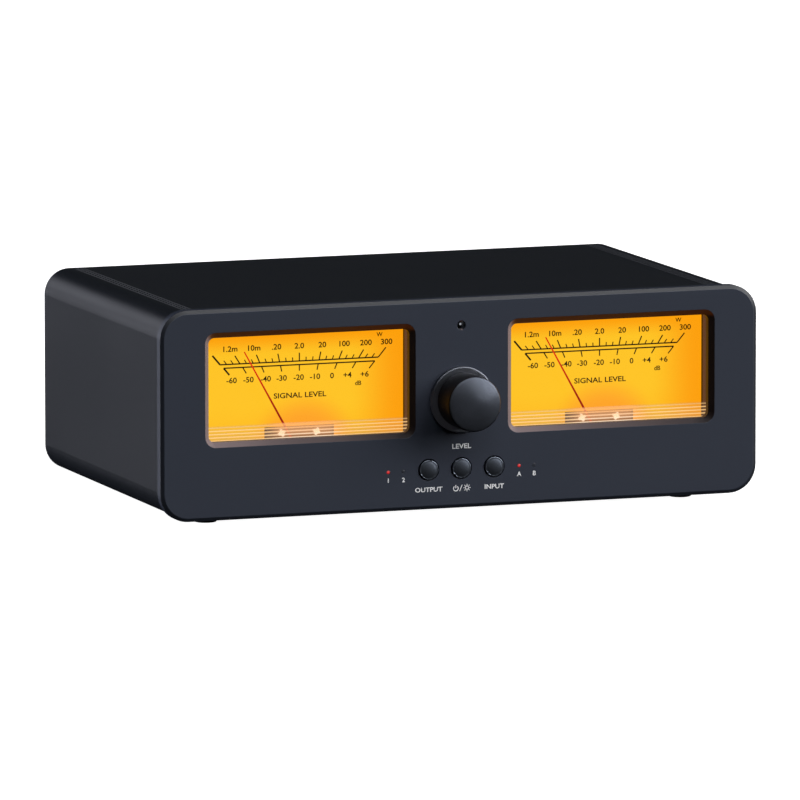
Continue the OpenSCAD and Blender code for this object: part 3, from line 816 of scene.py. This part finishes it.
print("indicators")
lensLook = {
    "z": 15.6,
    "litX": (-30.65, 24.3),
    "lit": (0.24, 0.012, 0.014),
    "unlit": (0.046, 0.051, 0.066),
    "dark": 0.8,
    "easing": 0.18,
    # Glow of a lit one: rising from its rim inwards, and in the middle from below to above, where
    # the brighter top is a painted highlight
    "rim": (0.10, 0.002, 0.003),
    "low": (0.46, 0.014, 0.018),
    "high": (0.66, 0.08, 0.075),
    "inside": (0.8, 0.25),
}


def lensPaint(name, colour, lit):
    look = lensLook
    paint = Paint(name, Roughness=0.25, Coat_Weight=0.4)
    x, _, z = paint.axes(paint.place((0, 0, look["z"])))
    cloud = paint.grain(paint.place(), 2.0, 1.0)
    paint.set(Base_Color=paint.blend(cloud, colour, shaded(colour, look["dark"])))
    if lit:
        first, second = look["litX"]
        across = (x - first).size().least((x - second).size())
        inside = radiusOf(across, z).ramp(*look["inside"])
        # The middle is painted brighter towards the top, a painted highlight
        hot = paint.blend(z.ramp(-0.5, 0.5), look["low"], look["high"])
        paint.set(Emission_Color=paint.blend(inside, look["rim"], hot), Emission_Strength=1.0)
    return paint


for kind in ("lit", "unlit"):
    newPiece(easedCopy(kind + "_pipes", lensLook["easing"], 40, 3), kind + "_lenses",
             lensPaint(kind + "Lens", lensLook[kind], kind == "lit"),
             standsFor=[kind + "_pipes"])

print("dials")
dialLook = {
    "deep": (1.0, 0.36, 0.004),
    "bright": (1.0, 0.555, 0.016),
    "base": (0.02, 0.008, 0.001),
    # The light fades to the top and the right, and a little to the foot
    "fadeTop": (71, 62),
    "fadeRight": (42, 20),
    "fadeFoot": (30, 44),
    "footShare": 0.25,
    "cloud": 0.05,
    "cloudShare": 0.16,
    # Painted shade: a redder, dimmer arch over the movement, where the movement blocks the light
    # from behind
    "archShade": (1.0, 0.36, 0.018),
    "archMiddle": (2.0, 22.0),
    "archFlat": 0.9,
    "archReach": (26, 13),
    "archShare": 0.95,
}


def dialPaint(side):
    look = dialLook
    paint = Paint(side + "Glow", Roughness=0.7, Specular_IOR_Level=0.1)
    x, _, z = paint.axes(paint.place((meterX[side], 0, 0)))
    foot = look["footShare"]
    body = z.ramp(*look["fadeTop"]) * x.ramp(*look["fadeRight"])
    body = body * ((1 - foot) + z.ramp(*look["fadeFoot"]) * foot)
    middle = look["archMiddle"]
    distance = ((x - middle[0]) ** 2.0 + (z - middle[1]) ** 2.0 * look["archFlat"]).root()
    archShade = distance.ramp(*look["archReach"])
    cloud = paint.grain(paint.place(), look["cloud"], 1.0)
    even = 1 - look["cloudShare"] / 2
    glow = paint.blend(body * (even + cloud * look["cloudShare"]), look["deep"], look["bright"])
    # Painted shade of the movement in the dial's glow
    glow = paint.blend(archShade * look["archShare"], glow, look["archShade"])
    paint.set(Base_Color=look["base"], Emission_Color=glow, Emission_Strength=1.0)
    return paint


scaleLook = {
    "ink": (0.013, 0.005, 0.001),
    "inkLight": 1.8,
    "y": 12.97,
    "weight": 0.016,
    "pivotZ": 21.0,
    # Each scale's line, the pitch of its long marks, and how far the marks reach, as a share of
    # their distance from the pivot. The upper scale has two short marks between long ones
    "upperZ": 59.75,
    "upperStep": 8.24,
    "upperMarks": {"end": 1.096, "long": 1.085, "short": 1.04},
    "lowerZ": 58.3,
    "lowerStep": 7.87,
    "lowerMarks": {"end": 0.925, "long": 0.935},
    # Line widths: the two scale lines, the slanting line at the left end, and the marks
    "line": 0.52,
    "leftEnd": 0.7,
    "long": 0.48,
    "short": 0.4,
    "lower": 0.46,
    "numbers": 2.1,
    "stretch": 1.08,
    "upperNumbersZ": 65.8,
    "upperNumbers": {"1.2m": -28.9, "10m": -19.0, ".20": -9.5, "2.0": 0, "20": 9.6,
                     "100": 18.6, "200": 27.8, "300": 36.4},
    "lowerNumbersZ": 53.3,
    "lowerNumbers": {"-60": -28.2, "-50": -21.2, "-40": -14, "-30": -7.4, "-20": -0.3,
                     "-10": 6.5, "0": 13.6, "+4": 20.0, "+6": 27.2},
    # Text with its capitals' height, x, z and stretch
    "words": (("W", 1.6, 33.5, 68.8, 1.0), ("dB", 1.7, 24.5, 49.9, 1.0),
              ("SIGNAL LEVEL", 2.0, 0.2, 46.3, 1.2)),
}


def inkPaint():
    paint = Paint("dialInk", Roughness=0.7, Specular_IOR_Level=0.1)
    fine = paint.grain(paint.place(), 3.0)
    ink = scaleLook["ink"]
    paint.set(Base_Color=paint.blend(fine, ink, shaded(ink, scaleLook["inkLight"])))
    return paint


dialInk = inkPaint()


def dialPrint(side):
    look = scaleLook
    y, weight, centre = look["y"], look["weight"], meterX[side]
    up, low, pivot = look["upperZ"], look["lowerZ"], look["pivotZ"]
    parts = []

    # A mark that points at the pivot, from a scale's line to a share of its distance
    def ray(x, line, share, width):
        inner = (centre + x, line)
        outer = (centre + x * share, pivot + (line - pivot) * share)
        parts.append(stroke(inner, outer, width, y))

    for z, step in ((up, look["upperStep"]), (low, look["lowerStep"])):
        span = 4 * step
        parts.append(stroke((centre - span, z), (centre + span, z), look["line"], y))
    for step in range(-12, 13):
        kind = "end" if abs(step) == 12 else "long" if step % 3 == 0 else "short"
        width = look["leftEnd"] if step == -12 else look["long" if step % 3 == 0 else "short"]
        ray(step * look["upperStep"] / 3, up, look["upperMarks"][kind], width)
    for step in range(-4, 5):
        kind = "end" if abs(step) == 4 else "long"
        width = look["leftEnd"] if step == -4 else look["lower"]
        ray(step * look["lowerStep"], low, look["lowerMarks"][kind], width)
    for row in ("upper", "lower"):
        for text, x in look[row + "Numbers"].items():
            parts.append(words(text, look["numbers"], centre + x, look[row + "NumbersZ"], y,
                               stretch=look["stretch"], weight=weight))
    for text, tall, x, z, stretch in look["words"]:
        parts.append(words(text, tall, centre + x, z, y, stretch=stretch, weight=weight))
    newPiece(merged(parts), side + "_dial_print", dialInk, smooth=0)


for side in meterX:
    coat(dialPaint(side), side + "_dial")
    dialPrint(side)

print("meter windows")
windowLook = {
    "base": (0.25, 0.2, 0.15),
    "clear": 0.01,
    "ribZ": 30.2,
    "ribGap": 1.3,
    "ribs": 5,
    "ribShift": 0.33,
    "ribEdge": (-0.2, 0.9),
    "ribSolid": 0.8,
    "ribFade": (0.6, -2.2, 0.3),
    # The ribs are given a painted glow, the dial's light caught in the cover
    "ribGlow": (1.0, 0.60, 0.22),
    # Over the movement the ribs' glow is whiter towards the bottom, a painted highlight of the
    # movement's screws
    "middle": (19, 9),
    "ribHighlight": (1.05, 0.82, 0.60),
    "ribTop": (1.0, 0.46, 0.14),
    "high": (0.3, 5.4),
    # Haze between the ribs, beside the movement and over it, with a painted glow of the dial's
    # light
    "veil": (0.17, 0.125, 0.09),
    "veilSolid": 0.26,
    "veilHigh": 0.6,
    "veilMiddle": (0.80, 0.34, 0.11),
    "veilMiddleSolid": (30.5, 33, 0.26, 0.5),
    # The cover's back face, which has the ribs, and its walls behind that
    "behind": (5.9, 6.0),
    "behindEnd": (7.0, 6.8),
    "wallFrom": (6.7, 6.8),
    "wallSolid": 0.98,
    "wall": (0.09, 0.075, 0.06),
    # Painted light: a faint bluish glow on the walls in front
    "wallHaze": (0.012, 0.011, 0.02),
    "wallDark": (0.004, 0.002, 0.001),
    "wallSplit": 11.3,
}


def windowPaint(side):
    look = windowLook
    paint = Paint(side + "Cover", Roughness=0.12, Specular_IOR_Level=0.1)
    x, y, z = paint.axes(paint.place((meterX[side], 0, 0)))
    low, gap = look["ribZ"], look["ribGap"]
    top = low + gap * look["ribs"]
    zone = z.ramp(low - 0.1, low) * z.ramp(top, top - 0.3)
    stripe = ((z - (low + look["ribShift"])) * (math.tau / gap) + math.pi / 2).wave()
    behind = y.ramp(*look["behind"]) * y.ramp(*look["behindEnd"])
    over, under, least = look["ribFade"]
    rib = zone * behind * stripe.ramp(*look["ribEdge"])
    rib = rib * z.ramp(top + over, top + under, least)
    wall = y.ramp(*look["wallFrom"])
    middle = x.size().ramp(*look["middle"])
    high = (z - low).ramp(*look["high"])
    haze = look["veilSolid"] * (1 - middle) * (1 - high * look["veilHigh"])
    haze = haze + middle * z.ramp(*look["veilMiddleSolid"])
    white = paint.blend(high, look["ribHighlight"], look["ribTop"])
    glow = paint.blend(middle, look["ribGlow"], white)
    glow = paint.blend(rib, paint.blend(middle, look["veil"], look["veilMiddle"]), glow)
    glow = paint.blend(zone * behind, (0, 0, 0), glow)
    back = y.ramp(look["wallSplit"] - 0.1, look["wallSplit"] + 0.1)
    brown = paint.blend(back, look["wall"], look["wallDark"])
    # Painted glow on the walls in front
    glow = paint.blend(wall, glow, paint.blend(back, look["wallHaze"], (0, 0, 0)))
    base = paint.blend(wall, look["base"], brown)
    solid = look["clear"] + zone * behind * haze * (1 - rib)
    solid = solid + rib * look["ribSolid"] + wall * look["wallSolid"]
    paint.set(Base_Color=base, Emission_Color=glow, Emission_Strength=1.0, Alpha=solid)
    return paint


for side in meterX:
    coat(windowPaint(side), side + "_cover")

needleLook = {
    "colour": ((0.16, 0.003, 0.001), (0.22, 0.004, 0.001)),
    # Painted light: the dial's glow on the lacquer, weaker towards the pivot, and the ribs' glow
    # low down where the needle lies behind them
    "low": (0.12, 0.004, 0.001),
    "high": (0.62, 0.010, 0.002),
    "rise": (34, 62),
    "ribs": (0.26, 0.004, 0.002),
    "ribsFrom": (37, 35.5),
}


def needlePaint():
    look = needleLook
    paint = Paint("needleLacquer", Roughness=0.5, Specular_IOR_Level=0.1)
    spot = paint.place()
    _, _, z = paint.axes(spot)
    fine = paint.grain(spot, 4.0)
    glow = paint.blend(z.ramp(*look["rise"]), look["low"], look["high"])
    glow = paint.blend(z.ramp(*look["ribsFrom"]), glow, look["ribs"])
    paint.set(Base_Color=paint.blend(fine, *look["colour"]), Emission_Strength=1.0,
              Emission_Color=glow)
    return paint


coat(needlePaint(), "left_needle", "right_needle")

print("inside")
blackPlastic = plasticPaint("blackPlastic", (0.012, 0.012, 0.012), 0.45)
meterPlastic = plasticPaint("meterPlastic", (0.008, 0.006, 0.005), 0.5)
whitePlastic = plasticPaint("whitePlastic", (0.75, 0.73, 0.68), 0.4, 1.5)
creamPlastic = plasticPaint("creamPlastic", (0.70, 0.66, 0.52), 0.4)
bluePlastic = plasticPaint("relayBlue", (0.03, 0.09, 0.28), 0.35)
steel = metalPaint("steel", (0.56, 0.56, 0.57), 0.32)
nickel = metalPaint("nickel", (0.66, 0.63, 0.58), 0.22)
brass = metalPaint("brass", (0.62, 0.44, 0.19), 0.28)
gold = metalPaint("goldPlate", (0.85, 0.62, 0.25), 0.2)
bronze = metalPaint("springBronze", (0.58, 0.38, 0.2), 0.3)
softIron = metalPaint("softIron", (0.36, 0.36, 0.37), 0.42)
blackScrew = metalPaint("blackScrew", (0.06, 0.06, 0.065), 0.4)
rubber = plasticPaint("rubber", (0.012, 0.012, 0.012), 0.75, 1.6, 0.02)

boardLook = {
    "offset": 0.35,
    "gap": 0.12,
    "long": 3,  # length of a track's stretch, in steps
    "spread": 0.3,
    "dot": (0.16, 0.12),
    "light": 1.2,
    "track": 1.8,
    "trackLift": 0.01,
    "trackShare": 0.6,
    "depth": 0.03,
}


# Circuit board: tracks step mm apart under the mask, with dots of solder or copper
def boardPaint(name, mask, copper, step):
    look = boardLook
    paint = Paint(name, Roughness=0.32)
    spot = paint.place()
    bricks = {"Vector": spot, "Scale": 1.0, "Mortar Size": look["gap"],
              "Brick Width": step * look["long"], "Row Height": step}
    tracks = paint.add("TexBrick", {"offset": look["offset"]}, bricks, 1)
    cells = {"Vector": spot, "Scale": 1 / step, "Randomness": look["spread"]}
    dots = paint.add("TexVoronoi", {}, cells).ramp(*look["dot"])
    cloud = paint.grain(spot, 0.3)
    tone = paint.blend(cloud, mask, shaded(mask, look["light"]))
    track = tuple(c * look["track"] + look["trackLift"] for c in mask)
    tone = paint.blend(tracks * look["trackShare"], tone, track)
    paint.set(Base_Color=paint.blend(dots, tone, copper), Metallic=dots * 0.9,
              Normal=paint.bump(tracks, look["depth"] * mm, 0.6))
    return paint


cableLook = {"side": -8, "pitch": 1.27, "dark": (0.28, 0.28, 0.28), "light": (0.52, 0.52, 0.52),
             "first": (0.45, 0.03, 0.02), "firstTo": (1.1, 0.9), "depth": 0.25}


# Flat cable whose first wire is red
def ribbonPaint():
    look = cableLook
    paint = Paint("ribbonCable", Roughness=0.5)
    x, _, _ = paint.axes(paint.place((look["side"], 0, 0)))
    wires = (x * (math.tau / look["pitch"])).wave()
    tone = paint.blend(wires.ramp(-1, 1), look["dark"], look["light"])
    tone = paint.blend(x.ramp(*look["firstTo"]), tone, look["first"])
    paint.set(Base_Color=tone, Normal=paint.bump(wires, look["depth"] * mm, 0.8))
    return paint


coilLook = {"pivotZ": 22.2, "across": (0.874, 0.486), "turns": 30.0, "depth": 0.05,
            "dark": (0.35, 0.12, 0.05), "light": (0.78, 0.36, 0.18)}


# Copper winding, whose turns lie across the coil as it stands at rest
def coilPaint(side):
    look = coilLook
    paint = Paint(side + "Winding", Metallic=1.0, Roughness=0.35)
    x, _, z = paint.axes(paint.place((meterX[side], 0, look["pivotZ"])))
    turns = ((x * look["across"][0] + z * look["across"][1]) * look["turns"]).wave()
    paint.set(Base_Color=paint.blend(turns.ramp(-1, 1), look["dark"], look["light"]),
              Normal=paint.bump(turns, look["depth"] * mm, 0.6))
    return paint


# Painted light: the frame glows faintly with the dial's light
frameLook = {"dark": (0.06, 0.025, 0.01), "light": (0.09, 0.04, 0.015),
             "glow": (0.03, 0.01, 0.002), "depth": 0.02}


def framePaint(side):
    look = frameLook
    paint = Paint(side + "Frame", Roughness=0.6)
    fine = paint.grain(paint.place(), 1.5)
    paint.set(Base_Color=paint.blend(fine, look["dark"], look["light"]),
              Emission_Color=look["glow"], Emission_Strength=1.0,
              Normal=paint.bump(fine, look["depth"] * mm, 0.4))
    return paint


# A painted highlight shaped as a star on each screw's head, glowing in the arms of its cross
screwLook = {"z": 31.5, "fromMiddle": 7.25, "radius": 1.35, "arms": 0.3, "soft": (0.3, -0.3),
             "highlightTone": ((0.5, 0.42, 0.3), (0.62, 0.54, 0.4)), "dark": (0.16, 0.09, 0.05),
             "glow": ((0.10, 0.05, 0.02), (0.85, 0.72, 0.54))}


def screwPaint():
    look = screwLook
    paint = Paint("movementScrew", Metallic=0.3, Roughness=0.35, Emission_Strength=1.0)
    spot = paint.place((0, 0, look["z"]))
    x, _, z = paint.axes(spot)
    across = paint.acrossMeter(x).size() - look["fromMiddle"]
    arms = (across.angle(z) * 4.0).wave()
    bright = radiusOf(across, z) - look["radius"] - arms * look["arms"]
    bright = bright.ramp(*look["soft"])
    fine = paint.grain(spot, 2.0)
    # Painted highlight: lighter and glowing in the star
    highlightTone = paint.blend(fine, *look["highlightTone"])
    paint.set(Base_Color=paint.blend(bright, look["dark"], highlightTone),
              Emission_Color=paint.blend(bright, *look["glow"]))
    return paint


for side in meterX:
    coat(framePaint(side), side + "_frame")
    coat(coilPaint(side), side + "_coil")
coat(screwPaint(), "movement_screws")
coat(meterPlastic, "left_meter_case", "right_meter_case")
coat(blackPlastic, "front_frame", "switch_bodies", "power_jack")
coat(whitePlastic, "left_diffuser", "right_diffuser")
coat(creamPlastic, "headers", "indicator_leds")
coat(bluePlastic, "relays")
coat(steel, "pan_screws", "knob_screw", "foot_screws", "left_staff", "right_staff")
coat(nickel, "socket_nuts", "control_nut", "control_shaft")
coat(brass, "board_standoffs", "jewel_screws")
coat(gold, "socket_cores")
coat(bronze, "hairsprings", "bridges")
coat(softIron, "left_yoke", "right_yoke", "left_core", "right_core")
coat(plasticPaint("controlBody", (0.22, 0.23, 0.24), 0.4), "control_body")
coat(boardPaint("greenBoard", (0.008, 0.09, 0.035), (0.6, 0.5, 0.25), 2.5),
     "main_board", "control_board")
coat(boardPaint("whiteBoard", (0.7, 0.7, 0.68), (0.75, 0.65, 0.35), 2.0),
     "left_lamp_board", "right_lamp_board")
coat(ribbonPaint(), "ribbon_cable")
newPiece(easedCopy("feet", 0.3, 35), "rubber_feet", rubber, standsFor=["feet"])

# Black capsule with a painted glint a little right of its middle
microphoneLook = {"glintSpot": (1.3, 0, 72.5), "edge": (0.55, 0.3), "glint": (0.34, 0.36, 0.4),
                  "colour": ((0.008, 0.008, 0.009), (0.014, 0.014, 0.016))}


def microphonePaint():
    look = microphoneLook
    paint = Paint("microphoneCapsule", Roughness=0.3, Emission_Strength=1.0)
    x, _, z = paint.axes(paint.place(look["glintSpot"]))
    # Painted glint
    glintSpot = radiusOf(x, z).ramp(*look["edge"])
    fine = paint.grain(paint.place(), 3.0)
    paint.set(Base_Color=paint.blend(fine, *look["colour"]),
              Emission_Color=paint.blend(glintSpot, (0, 0, 0), look["glint"]))
    return paint


coat(microphonePaint(), "microphone")

print("back")
redPlastic = plasticPaint("redPlastic", (0.42, 0.012, 0.01), 0.3)
# CAD node, name of the piece in its place, easing in mm, paint
easedPieces = (
    ("red_sockets", "red_terminals", 0.25, redPlastic),
    ("black_sockets", "black_terminals", 0.25, blackPlastic),
    ("rear_screws", "back_screws", 0.1, blackScrew),
)
for node, name, radius, paint in easedPieces:
    newPiece(easedCopy(node, radius, 35), name, paint, standsFor=[node])
coat(blackScrew, "case_screws")

backLook = {
    "y": 149.58,
    "weight": 0.025,
    "groups": {"A": -80, "B": -32, "1": 32, "2": 80},
    "names": 3.6,
    "half": 9.525,  # half the pitch of the sockets
    "channels": 2.6,
    "channelsDown": 3.1,
    "signs": {"+": 51.525, "\u2212": 32.475},
    "signTall": 3.4,
    # A frame round each group, open at its name: half its width, its foot, its top, half the gap
    "frame": (19.5, 23.4, 63.8, 3),
    "line": 0.3,
    "titles": {"INPUT": -56, "OUTPUT": 56},
    "titleTall": 3.0,
    "titleUp": 6.2,
    "powerZ": 25.6,
}


def backPrint():
    look = backLook
    wide, low, high, gap = look["frame"]
    lines = (((-wide, low), (wide, low)), ((-wide, low), (-wide, high)),
             ((wide, low), (wide, high)), ((-wide, high), (-gap, high)),
             ((gap, high), (wide, high)))
    parts = []

    def mark(text, x, z, tall):
        parts.append(words(text, tall, x, z, look["y"], back=True, weight=look["weight"]))

    for name, x in look["groups"].items():
        mark(name, x, high, look["names"])
        mark("L", x + look["half"], high - look["channelsDown"], look["channels"])
        mark("R", x - look["half"], high - look["channelsDown"], look["channels"])
        for sign, z in look["signs"].items():
            mark(sign, x, z, look["signTall"])
        for start, end in lines:
            ends = (x + start[0], start[1]), (x + end[0], end[1])
            parts.append(stroke(*ends, look["line"], look["y"]))
    for title, x in look["titles"].items():
        mark(title, x, high + look["titleUp"], look["titleTall"])
    mark("DC IN", 0, look["powerZ"], look["channels"])
    newPiece(merged(parts), "back_print", labelInk, smooth=0)


backPrint()

print("done")
